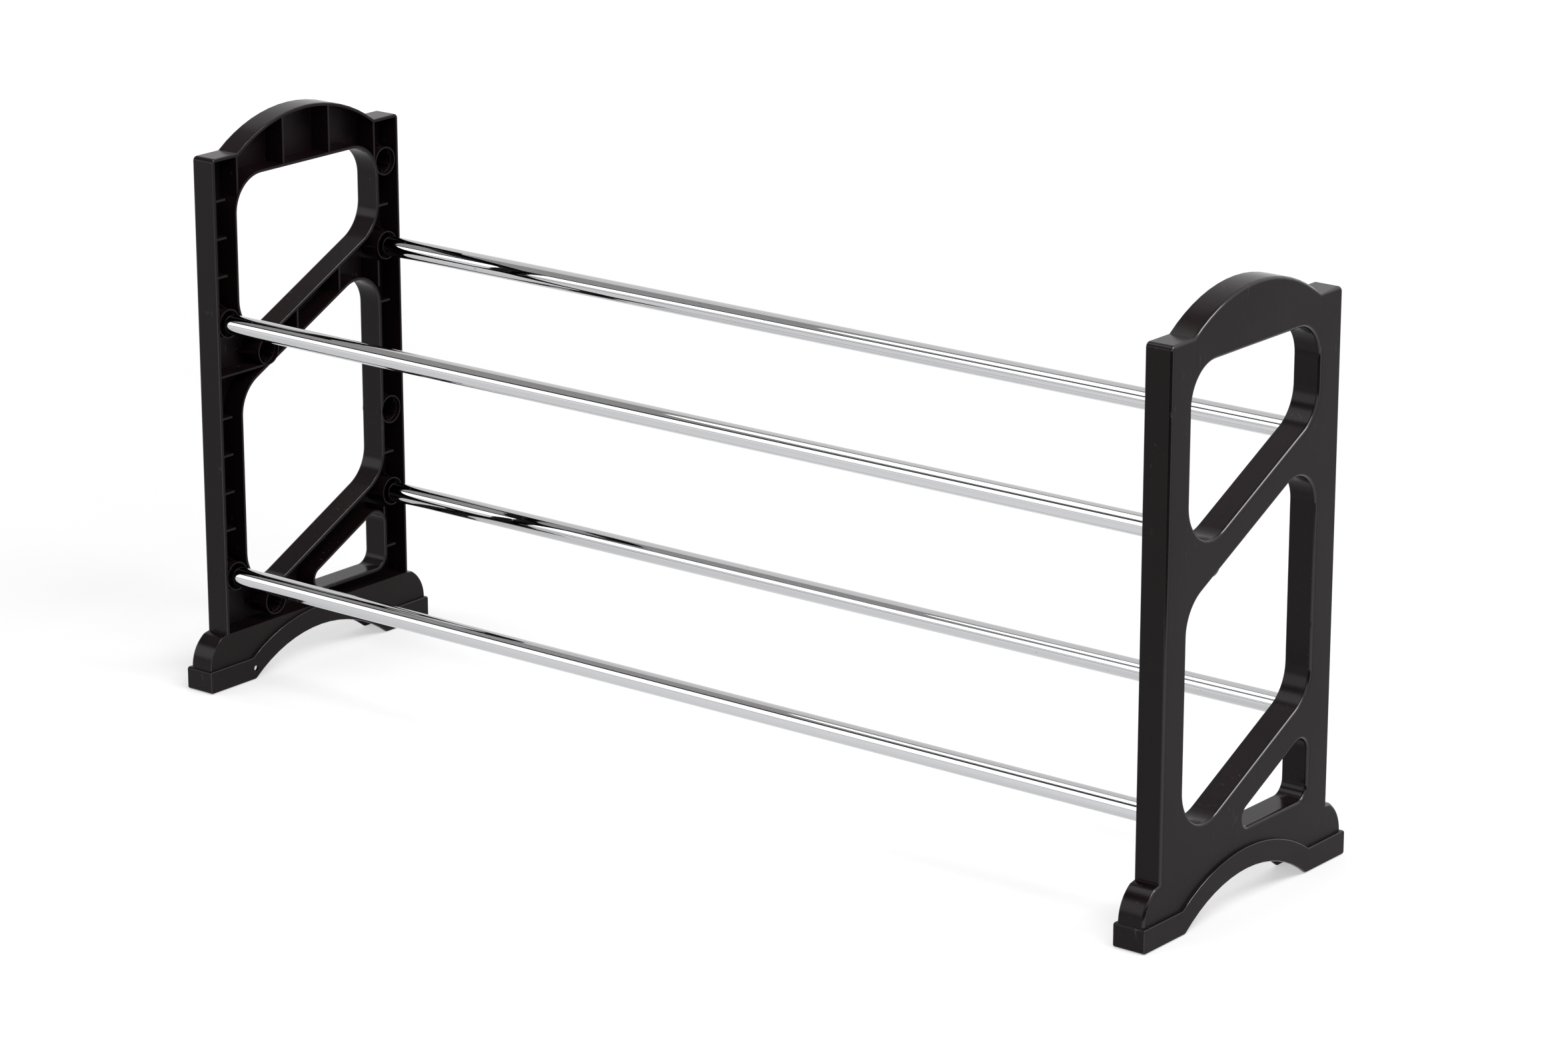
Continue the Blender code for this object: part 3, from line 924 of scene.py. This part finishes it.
@dataclass(frozen=True)
class Foot:
    """Arched foot with two blocks, rounded shoulders and a channel that is open below."""

    panel: Panel
    ceiling: float = 2.0 * MM
    block_height: float = 14.4 * MM
    block_reach: float = 17.4 * MM
    skirt_step: float = 1.8 * MM
    skirt_wall: float = 1.6 * MM
    skirt_width: float = 13.2 * MM
    shoulder_round: float = 23.0 * MM
    soffit_radius: float = 99.5 * MM
    soffit_top: float = 20.8 * MM
    block_corner: float = 3.5 * MM
    end_corner: float = 1.6 * MM
    peg_hole: float = 3.6 * MM
    peg_offset: float = 61.0 * MM
    peg_height: float = 7.2 * MM
    body_base: float = 4.8 * MM
    sink_inset: float = 8.0 * MM
    overrun: float = 5.0 * MM

    @property
    def soffit_centre(self) -> float:
        """Height of the centre of the arched underside."""
        return self.soffit_top - self.soffit_radius

    @property
    def skirt_radius(self) -> float:
        """Radius of the skirt's upper edge."""
        return self.soffit_radius + self.skirt_width

    def shoulder(self, inset: float, top: float) -> list[Corner]:
        """Front shoulder from the block up to a height.

        Args:
            inset: How far it moves in.
            top: The height.

        Returns:
            The points of its arc.
        """
        radius = self.shoulder_round - inset
        reach = self.panel.half_span + self.block_reach - self.skirt_step
        centre = Vector((self.shoulder_round - reach, self.block_height))
        swing = math.asin((top - self.block_height) / radius)
        return arc(centre, radius, math.pi, math.pi - swing)

    def body(self) -> Outline:
        """Outline of posts, arch and shoulders; its lower edge is inside the skirt.

        Returns:
            The outline.
        """
        reach = self.panel.half_span + self.block_reach - self.skirt_step
        front = [Corner(-reach, self.body_base), *self.shoulder(0.0, self.panel.tray_floor)[:-1]]
        front.append(Corner(-self.panel.half_span, self.panel.tray_floor))
        back = [corner.mirrored() for corner in reversed(front)]
        soffit = arch(self.soffit_radius + self.skirt_width / 2, self.soffit_centre, self.body_base)
        return Outline((*front, *self.panel.crown(0.0), *back, *reversed(soffit)))

    def skirt(self) -> Outline:
        """Outline of the blocks and the arched skirt between them.

        Returns:
            The outline.
        """
        reach = self.panel.half_span + self.block_reach
        soffit = arch(self.soffit_radius, self.soffit_centre, 0.0)
        toe = Corner(soffit[0].y, 0.0, self.block_corner)
        front = [Corner(-reach, 0.0, self.end_corner), Corner(-reach, self.block_height, self.end_corner)]
        back = [corner.mirrored() for corner in reversed(front)]
        top = arch(self.skirt_radius, self.soffit_centre, self.block_height)
        return Outline((*front, *top, *back, toe.mirrored(), *reversed(soffit[1:-1]), toe))

    def wide_channel(self) -> Outline:
        """Hollow inside the skirt.

        Returns:
            The outline.
        """
        reach = self.panel.half_span + self.block_reach - self.skirt_wall
        level = self.block_height - self.skirt_wall
        top = arch(self.skirt_radius - self.skirt_wall, self.soffit_centre, level)
        front = [Corner(-reach, -self.overrun), Corner(-reach, level)]
        return Outline((*front, *top, *(corner.mirrored() for corner in reversed(front))))

    def narrow_channel(self) -> Outline:
        """Hollow under the shoulders, above the skirt.

        Returns:
            The outline.
        """
        wall = self.panel.wall
        reach = self.panel.half_span + self.block_reach - self.skirt_step - wall
        front = [Corner(-reach, -self.overrun), *self.shoulder(wall, self.panel.tray_floor - self.ceiling)]
        return Outline((*front, *(corner.mirrored() for corner in reversed(front))))


@dataclass(frozen=True)
class Sockets:
    """Ring sockets for the tubes, with grip ribs in their bores; half of them are spare."""

    panel: Panel
    tube_radius: float
    places: dict[Place, Vector]
    ring_radius: float = 9.2 * MM
    ring_wall: float = 1.1 * MM
    lip: float = 0.8 * MM
    grip_drop: float = 3.0 * MM
    ring_drop: float = 0.4 * MM
    floor_step: float = 0.2 * MM
    clearance: float = 0.3 * MM
    grip_ribs: int = 6
    grip_width: float = 1.0 * MM
    spare_rise: float = 55.0 * MM
    spare_offset: tuple[float, float] = (34.0 * MM, -24.4 * MM)

    def spares(self) -> list[Vector]:
        """Places of the empty sockets."""
        front, back = Vector(self.spare_offset), Vector((0.0, self.spare_rise))
        return [spot + (back if spot.x > 0.0 else front) for spot in self.places.values()]

    def centres(self) -> list[Vector]:
        """Places of all the sockets."""
        return [*self.places.values(), *self.spares()]

    def bore(self, centre: Vector) -> Outline:
        """Bore of a ring, with ribs that reach in to the tube.

        Args:
            centre: Centre of the ring.

        Returns:
            The outline.
        """
        outer = self.ring_radius - self.ring_wall
        inner = self.tube_radius + self.clearance
        root = math.asin(self.grip_width / 2 / outer)
        tip = math.asin(self.grip_width / 2 / inner)
        pitch = 2 * math.pi / self.grip_ribs
        corners: list[Corner] = []
        for i in range(self.grip_ribs):
            middle = (i + 0.5) * pitch
            corners += arc(centre, inner, middle - tip, middle + tip)
            corners += arc(centre, outer, middle + root, middle + pitch - root)
        return Outline(tuple(corners))

    def gussets(self) -> list[tuple[Vector, float]]:
        """Ring centres and directions of the webs that prop them, where the tray has room.

        Returns:
            Centre and direction of each web.
        """
        upwards, forwards = math.pi / 2, math.pi
        found = [(spot, upwards) for spot in self.places.values()]
        found += [(spot, forwards) for spot in self.places.values() if spot.x > 0.0]
        found += [(spot, upwards if spot.x > 0.0 else forwards) for spot in self.spares()]
        return found


@dataclass(frozen=True)
class Ribs:
    """Straight ribs inside the tray, and the webs beside the rings."""

    panel: Panel
    sockets: Sockets
    width: float = 1.4 * MM
    drop: float = 0.6 * MM
    root: float = 1.0 * MM
    arch_count: int = 4
    bar_places: tuple[float, float] = (-12.0 * MM, 27.0 * MM)
    stub_length: float = 10.0 * MM
    stub_spacing: float = 24.2 * MM
    stub_headroom: float = 27.0 * MM
    stub_drop: float = 36.0 * MM
    post_rib_drop: float = 11.0 * MM
    gusset_reach: float = 6.0 * MM

    def arch_places(self) -> list[float]:
        """Depths of the upright ribs under the arch."""
        chord = self.panel.arch_chord
        return [-chord + 2 * chord * i / (self.arch_count - 1) for i in range(self.arch_count)]

    def under_arch(self) -> Iterator[Rib]:
        """Upright ribs between arch and top window; the outer two go on into the posts.

        Returns:
            The ribs.
        """
        panel = self.panel
        for y in self.arch_places():
            over, under = panel.post_top - self.root, panel.window_top - self.post_rib_drop
            if abs(y) < panel.arch_chord - self.width:
                radius = panel.arch_radius - panel.wall + self.root
                over = panel.arch_centre + reach_at(radius, 0.0, y)
                under = panel.window_top + panel.wall - self.root
            yield (y, under), (y, over)

    def across_bar(self) -> Iterator[Rib]:
        """Upright ribs across the upper sloping bar.

        Returns:
            The ribs.
        """
        panel = self.panel
        sill = panel.lower_bar_top + panel.tier_pitch
        inset = panel.wall - self.root
        for y in self.bar_places:
            low, high = panel.bar_edge(sill - panel.bar_depth, y), panel.bar_edge(sill, y)
            yield (y, low + inset), (y, high - inset)

    def ledge_height(self) -> float:
        """Height of the long rib under the upper spare front ring."""
        spare = self.sockets.places[Place.UPPER_FRONT].y + self.sockets.spare_offset[1]
        return spare - self.sockets.ring_radius + self.sockets.ring_wall / 2

    def at_junctions(self) -> Iterator[Rib]:
        """Ribs where the bars meet the posts.

        Returns:
            The ribs.
        """
        panel, sockets = self.panel, self.sockets
        line = panel.window_back + panel.wall / 2
        _, middle, small = panel.windows()
        for place, window in ((Place.LOWER_BACK, small), (Place.UPPER_BACK, middle)):
            head = window.corners[2]
            ring = sockets.places[place].y - sockets.ring_radius + sockets.ring_wall / 2
            yield (line, head.z - head.radius), (line, ring)
        ledge = self.ledge_height()
        spare_y = sockets.places[Place.UPPER_FRONT].x + sockets.spare_offset[0]
        yield (-panel.half_span + panel.wall - self.root, ledge), (spare_y, ledge)

    def stubs(self) -> Iterator[Rib]:
        """Short ribs on the front wall of the front post and the window wall of the back post.

        Returns:
            The ribs.
        """
        panel, places = self.panel, self.sockets.places
        front = -panel.half_span + panel.wall - self.root
        back = panel.window_back + panel.wall - self.root
        spots = []
        rows = (
            (panel.post_top, places[Place.UPPER_FRONT].y),
            (self.ledge_height(), places[Place.LOWER_FRONT].y),
        )
        for high, low in rows:
            height = high - self.stub_headroom
            while height > low + self.stub_headroom:
                spots.append((front, height))
                height -= self.stub_spacing
        for place in (Place.LOWER_BACK, Place.UPPER_BACK):
            ring = places[place].y
            spots += [(back, ring + self.stub_headroom), (back, ring - self.stub_drop)]
        for y, z in spots:
            yield (y, z), (y + self.stub_length, z)

    def lines(self) -> Iterator[Rib]:
        """All the straight ribs, each as two points.

        Returns:
            The ribs.
        """
        yield from self.under_arch()
        yield from self.across_bar()
        yield from self.at_junctions()
        yield from self.stubs()

    def gusset(self, name: str, centre: Vector, angle: float) -> bpy.types.Object:
        """Three-cornered web that props a ring from the sheet.

        Args:
            name: Name of the object.
            centre: Centre of the ring.
            angle: Direction of the web in the side view.

        Returns:
            The object.
        """
        panel, sockets = self.panel, self.sockets
        root = sockets.ring_radius - sockets.ring_wall / 2
        head = panel.thickness - sockets.ring_drop - sockets.ring_wall
        outwards = Vector((0.0, math.cos(angle), math.sin(angle)))
        across = Vector((0.0, -math.sin(angle), math.cos(angle))) * self.width
        base = Vector((0.0, *centre)) - across / 2
        work = bmesh.new()
        corners = []
        foot = panel.sheet / 2
        for out, deep in ((root, foot), (root + self.gusset_reach, foot), (root, head)):
            corners.append(work.verts.new(base + outwards * out + Vector((panel.x_at(deep), 0.0, 0.0))))
        swept(work, [work.faces.new(corners)], across)
        return add_object(name, work)


@dataclass
class EndFrames:
    """The two mirror-image mouldings, built once and dressed twice."""

    panel: Panel
    foot: Foot
    sockets: Sockets
    ribs: Ribs
    finish: BlackMoulding
    tools: list[bpy.types.Collection] = field(default_factory=list)

    def build(self) -> list[bpy.types.Object]:
        """Build and dress both frames.

        Returns:
            The left and the right frame.
        """
        mesh = self._moulding()
        made = []
        for side in Side:
            shape = mesh.copy()
            if side is Side.RIGHT:
                shape.transform(Matrix.Scale(-1.0, 4, (1.0, 0.0, 0.0)))
                shape.flip_normals()
            item = bpy.data.objects.new(f"{side.value}_moulding", shape)
            bpy.context.scene.collection.objects.link(item)
            self._dress(item, side.value)
            made.append(item)
        bpy.data.meshes.remove(mesh)
        return made

    def _moulding(self) -> bpy.types.Mesh:
        """Join, hollow, rib and bore one frame, and keep the finished mesh.

        Returns:
            The mesh.
        """
        panel, foot = self.panel, self.foot
        outlines = [foot.body(), *panel.windows()]
        near, far = panel.x_at(0.0), panel.x_at(panel.thickness)
        body = prism("panel", outlines, near, far, panel.sheet_round, panel.rim_round)
        self._combine(body, "UNION", [self._skirt()])
        self._combine(body, "DIFFERENCE", self._hollows())
        self._combine(body, "UNION", self._inner_works())
        self._combine(body, "DIFFERENCE", self._bores())
        bpy.context.view_layer.update()
        evaluated = body.evaluated_get(bpy.context.evaluated_depsgraph_get())
        mesh = bpy.data.meshes.new_from_object(evaluated)
        mesh.shade_smooth()
        mesh.set_sharp_from_angle(angle=SHARP_ANGLE)
        self._clear(body)
        return mesh

    def _combine(self, item: bpy.types.Object, operation: str, tools: list[bpy.types.Object]) -> None:
        """Join or cut a solid with several others.

        Args:
            item: The solid.
            operation: Name of the Boolean operation.
            tools: The other solids.
        """
        group = bpy.data.collections.new(f"tools_{len(self.tools)}")
        for tool in tools:
            group.objects.link(tool)
        self.tools.append(group)
        boolean = item.modifiers.new(operation.lower(), "BOOLEAN")
        boolean.operation = operation
        boolean.operand_type = "COLLECTION"
        boolean.collection = group
        boolean.solver = "EXACT"
        weld = item.modifiers.new("weld", "WELD")
        weld.merge_threshold = WELD_DISTANCE

    def _clear(self, body: bpy.types.Object) -> None:
        """Remove the working solids.

        Args:
            body: The solid that the others were joined to.
        """
        for group in self.tools:
            for tool in list(group.objects):
                bpy.data.objects.remove(tool, do_unlink=True)
            bpy.data.collections.remove(group)
        self.tools.clear()
        bpy.data.objects.remove(body, do_unlink=True)

    def _skirt(self) -> bpy.types.Object:
        """Blocks and skirt, proud of the panel all round.

        Returns:
            The solid.
        """
        panel, step = self.panel, self.foot.skirt_step
        near, far = panel.x_at(-step), panel.x_at(panel.thickness + step)
        return prism("skirt", [self.foot.skirt()], near, far, panel.rim_round, panel.rim_round)

    def _hollows(self) -> list[bpy.types.Object]:
        """Cutters for the tray and the foot channel.

        Returns:
            The cutters.
        """
        panel, foot = self.panel, self.foot
        gap = foot.skirt_step - foot.skirt_wall
        past, inner = panel.thickness + foot.overrun, panel.thickness - panel.wall
        return [
            prism("tray", panel.tray(), panel.x_at(panel.sheet), panel.x_at(past)),
            prism("wide", [foot.wide_channel()], panel.x_at(-gap), panel.x_at(panel.thickness + gap)),
            prism("narrow", [foot.narrow_channel()], panel.x_at(panel.wall), panel.x_at(inner)),
        ]

    def _inner_works(self) -> list[bpy.types.Object]:
        """Ribs, rings and webs of the tray.

        Returns:
            The solids.
        """
        panel, sockets, ribs = self.panel, self.sockets, self.ribs
        low = panel.x_at(panel.sheet / 2)
        made = []
        for start, end in ribs.lines():
            outline = strip(start, end, ribs.width)
            made.append(prism("rib", [outline], low, panel.x_at(panel.thickness - ribs.drop)))
        for centre in sockets.centres():
            ring = circle(centre, sockets.ring_radius)
            made.append(prism("ring", [ring], low, panel.x_at(panel.thickness - sockets.ring_drop)))
        for centre, angle in sockets.gussets():
            made.append(ribs.gusset("gusset", centre, angle))
        return made

    def _bores(self) -> list[bpy.types.Object]:
        """Cutters for the sockets and for the peg holes of the foot.

        Returns:
            The cutters.
        """
        panel, foot, sockets = self.panel, self.foot, self.sockets
        past = panel.x_at(panel.thickness + foot.overrun)
        floor = panel.x_at(panel.sheet + sockets.floor_step)
        mouth = panel.x_at(panel.thickness - sockets.ring_drop - sockets.grip_drop)
        made = [prism("bore", [sockets.bore(centre)], floor, past) for centre in sockets.centres()]
        for centre in sockets.centres():
            made.append(prism("mouth", [circle(centre, sockets.ring_radius - sockets.lip)], mouth, past))
        for y in (-foot.peg_offset, foot.peg_offset):
            hole = circle(Vector((y, foot.peg_height)), foot.peg_hole / 2)
            made.append(prism("peg_hole", [hole], panel.x_at(panel.thickness / 2), past))
        return made

    def _sinks(self) -> list[tuple[float, float, float]]:
        """Ribs that show as faint marks on the outer sheet.

        Returns:
            Depth and lowest and highest Z of each.
        """
        panel = self.panel
        marks = [(y, panel.window_top, panel.top) for y in self.ribs.arch_places()]
        blocks = panel.half_span - self.foot.sink_inset
        return marks + [(side * blocks, self.foot.block_height, panel.tray_floor) for side in (-1, 1)]

    def _dress(self, item: bpy.types.Object, node: str) -> None:
        """Finish a frame and let it stand for its CAD node.

        Args:
            item: The frame.
            node: Name of the CAD node.
        """
        normals = item.modifiers.new("even_shading", "WEIGHTED_NORMAL")
        normals.keep_sharp = True
        item.data.materials.clear()
        item.data.materials.append(self.finish.material(f"{node}_finish", self._sinks()))
        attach(item, BODY)
        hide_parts(node)


@dataclass
class ChromeTubes:
    """The four open tubes, with softly rolled ends."""

    finish: ChromePlate
    wall: float = 0.8 * MM
    lip: float = 0.3 * MM
    sides: int = 128

    def build(self) -> list[bpy.types.Object]:
        """Build and dress the tubes.

        Returns:
            The tubes.
        """
        made = []
        for place in Place:
            low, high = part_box(place.value)
            item = self._tube(f"{place.value}_plated", low, high)
            item.data.shade_smooth()
            item.data.set_sharp_from_angle(angle=SHARP_ANGLE)
            item.data.materials.append(self.finish.material(f"{place.value}_finish"))
            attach(item, BODY)
            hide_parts(place.value)
            made.append(item)
        return made

    def _tube(self, name: str, low: Vector, high: Vector) -> bpy.types.Object:
        """Turn one tube from its wall profile.

        Args:
            name: Name of the object.
            low: Lowest corner of the tube's box.
            high: Highest corner of the tube's box.

        Returns:
            The tube.
        """
        middle = (low + high) / 2
        outer = (high.z - low.z) / 2
        inner = outer - self.wall
        half = (high.x - low.x) / 2
        profile = [(half - self.lip, outer), (half, outer - self.lip), (half, inner)]
        profile += [(-x, r) for x, r in reversed(profile)]
        work = bmesh.new()
        loop = [work.verts.new((middle.x + x, middle.y, middle.z + r)) for x, r in profile]
        edges = [work.edges.new((loop[i - 1], vert)) for i, vert in enumerate(loop)]
        bmesh.ops.spin(
            work,
            geom=loop + edges,
            cent=middle,
            axis=(1.0, 0.0, 0.0),
            angle=2 * math.pi,
            steps=self.sides,
            use_merge=True,
        )
        bmesh.ops.remove_doubles(work, verts=work.verts, dist=MERGE_DISTANCE)
        return add_object(name, work)


# Studio


@dataclass(frozen=True)
class Softbox:
    """Large even lamp that faces a point of the rack."""

    name: str
    spot: tuple[float, float, float]
    aim: tuple[float, float, float]
    size: tuple[float, float]
    radiance: float
    shape: LampShape = LampShape.OBLONG

    def build(self) -> bpy.types.Object:
        """Hang the lamp.

        Returns:
            The lamp.
        """
        lamp = bpy.data.lights.new(self.name, "AREA")
        lamp.shape = self.shape.value
        lamp.size, lamp.size_y = self.size
        lamp.energy = self.radiance * math.pi * self.size[0] * self.size[1]
        item = bpy.data.objects.new(self.name, lamp)
        item.location = self.spot
        item.rotation_euler = (Vector(self.aim) - Vector(self.spot)).to_track_quat("-Z", "Y").to_euler()
        item.visible_camera = False
        bpy.context.scene.collection.objects.link(item)
        return item


@dataclass(frozen=True)
class Card:
    """Card out of the picture that metal and glossy rounds mirror as a grey or dark band."""

    name: str
    spot: tuple[float, float, float]
    size: tuple[float, float]
    finish: MattCard
    only_mirrored: bool = False
    facing: tuple[float, float, float] = (0.0, 0.0, 1.0)


@dataclass
class Studio:
    """White floor and surroundings, softboxes, and cards that metal and glossy rounds mirror."""

    floor_finish: PaleFloor = PaleFloor()
    floor_size: float = 14.0
    floor_drop: float = 0.3 * MM
    surround: float = 1.0
    fill: float = 0.55
    softboxes: tuple[Softbox, ...] = (
        Softbox("top_softbox", (1.15, -0.10, 2.0), (0.20, 0.0, 0.1), (1.60, 1.04), 5.0),
        Softbox("near_softbox", (0.0, -0.17, 0.69), (0.0, -0.17, 0.0), (0.70, 0.34), 2.3, LampShape.OVAL),
        Softbox("front_softbox", (-1.9, -2.1, 1.25), (0.0, 0.0, 0.25), (2.6, 1.5), 2.0),
        Softbox("side_softbox", (1.35, 0.45, 1.9), (0.36, 0.0, 0.2), (0.80, 0.80), 5.0),
    )
    cards: tuple[Card, ...] = (
        Card("ceiling_card", (-3.1, -0.275, 2.2), (2.0, 2.25), MattCard((0.40, 0.39, 0.38))),
        Card("lamp_rim", (-0.35, -0.185, 0.70), (1.7, 0.57), MattCard((0.66, 0.645, 0.63), 0.22), True),
        Card("dark_card", (-0.35, -0.58, 0.70), (1.7, 0.22), MattCard((0.05, 0.048, 0.047)), True),
        Card(
            "flag",
            (0.67, -0.48, 0.16),
            (0.84, 0.30),
            MattCard((0.10, 0.10, 0.10)),
            only_mirrored=True,
            facing=(-0.62, 0.78, 0.0),
        ),
    )

    def build(self) -> None:
        """Set up floor, surroundings, lamps and cards."""
        floor = self._plane("floor", (self.floor_size, self.floor_size), (0.0, 0.0, -self.floor_drop))
        floor.data.materials.append(self.floor_finish.material("floor_white"))
        for card in self.cards:
            sheet = self._plane(card.name, card.size, card.spot)
            sheet.data.materials.append(card.finish.material(f"{card.name}_grey"))
            sheet.rotation_euler = Vector(card.facing).to_track_quat("Z", "Y").to_euler()
            sheet.visible_camera = False
            sheet.visible_diffuse = sheet.visible_shadow = not card.only_mirrored
        for softbox in self.softboxes:
            softbox.build()
        self._surroundings()

    @staticmethod
    def _plane(name: str, size: Sequence[float], spot: Sequence[float]) -> bpy.types.Object:
        """Flat level sheet.

        Args:
            name: Name of the object.
            size: Length along X and along Y.
            spot: Its middle.

        Returns:
            The sheet.
        """
        work = bmesh.new()
        bmesh.ops.create_grid(work, x_segments=1, y_segments=1, size=0.5)
        bmesh.ops.scale(work, verts=work.verts, vec=(*size, 1.0))
        item = add_object(name, work)
        item.location = spot
        return item

    def _surroundings(self) -> None:
        """White all round where it is seen or mirrored, and a gentler fill elsewhere."""
        world = bpy.data.worlds.new("studio_white")
        bpy.context.scene.world = world
        world.use_nodes = True
        graph = Graph(world.node_tree)
        strength = self.fill + graph.seen() * (self.surround - self.fill)
        white = graph.node("ShaderNodeBackground", {}, {"Color": opaque(WHITE), "Strength": strength})
        graph.add("ShaderNodeOutputWorld", {}, {"Surface": white})


@dataclass(frozen=True)
class PhotoCamera:
    """Camera at the photograph's viewing angle."""

    aim: tuple[float, float, float] = (0.026, 0.010, 0.157)
    azimuth: float = math.radians(38.39)
    elevation: float = math.radians(16.98)
    distance: float = 3.09
    focal_pixels: float = 7810.0
    sensor: float = 36.0

    def build(self) -> bpy.types.Object:
        """Place the camera.

        Returns:
            The camera.
        """
        data = bpy.data.cameras.new("photo_camera")
        data.sensor_fit = "HORIZONTAL"
        data.sensor_width = self.sensor
        data.lens = self.focal_pixels * self.sensor / PHOTO_WIDTH
        item = bpy.data.objects.new("photo_camera", data)
        level = math.cos(self.elevation)
        back = Vector(
            (math.sin(self.azimuth) * level, -math.cos(self.azimuth) * level, math.sin(self.elevation))
        )
        item.location = Vector(self.aim) + back * self.distance
        item.rotation_euler = (-back).to_track_quat("-Z", "Y").to_euler()
        bpy.context.scene.collection.objects.link(item)
        bpy.context.scene.camera = item
        return item


def tube_spots() -> dict[Place, Vector]:
    """Axes of the tubes in the side view, from the frame.

    Returns:
        Depth and height of each tube.
    """
    spots = {}
    for place in Place:
        low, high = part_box(place.value)
        spots[place] = Vector(((low.y + high.y) / 2, (low.z + high.z) / 2))
    return spots


def end_frames() -> EndFrames:
    """Work out the frames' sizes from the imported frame.

    Returns:
        The sub-assembly of both frames.
    """
    low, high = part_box(Side.LEFT.value)
    tube_low, tube_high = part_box(Place.UPPER_FRONT.value)
    panel = Panel(sheet_x=low.x + Foot.skirt_step, top=high.z)
    sockets = Sockets(panel, (tube_high.z - tube_low.z) / 2, tube_spots())
    return EndFrames(panel, Foot(panel), sockets, Ribs(panel, sockets), BlackMoulding())


def main() -> None:
    """Build every piece, the studio and the camera."""
    logging.basicConfig(level=logging.INFO, format="%(name)s: %(message)s")
    bpy.context.scene.view_settings.view_transform = "Standard"
    PhotoCamera().build()
    pieces = [*end_frames().build(), *ChromeTubes(ChromePlate()).build()]
    for piece in pieces:
        LOG.info("%s: %d faces", piece.name, len(piece.data.polygons))
    Studio().build()


if __name__ == "__main__":
    main()
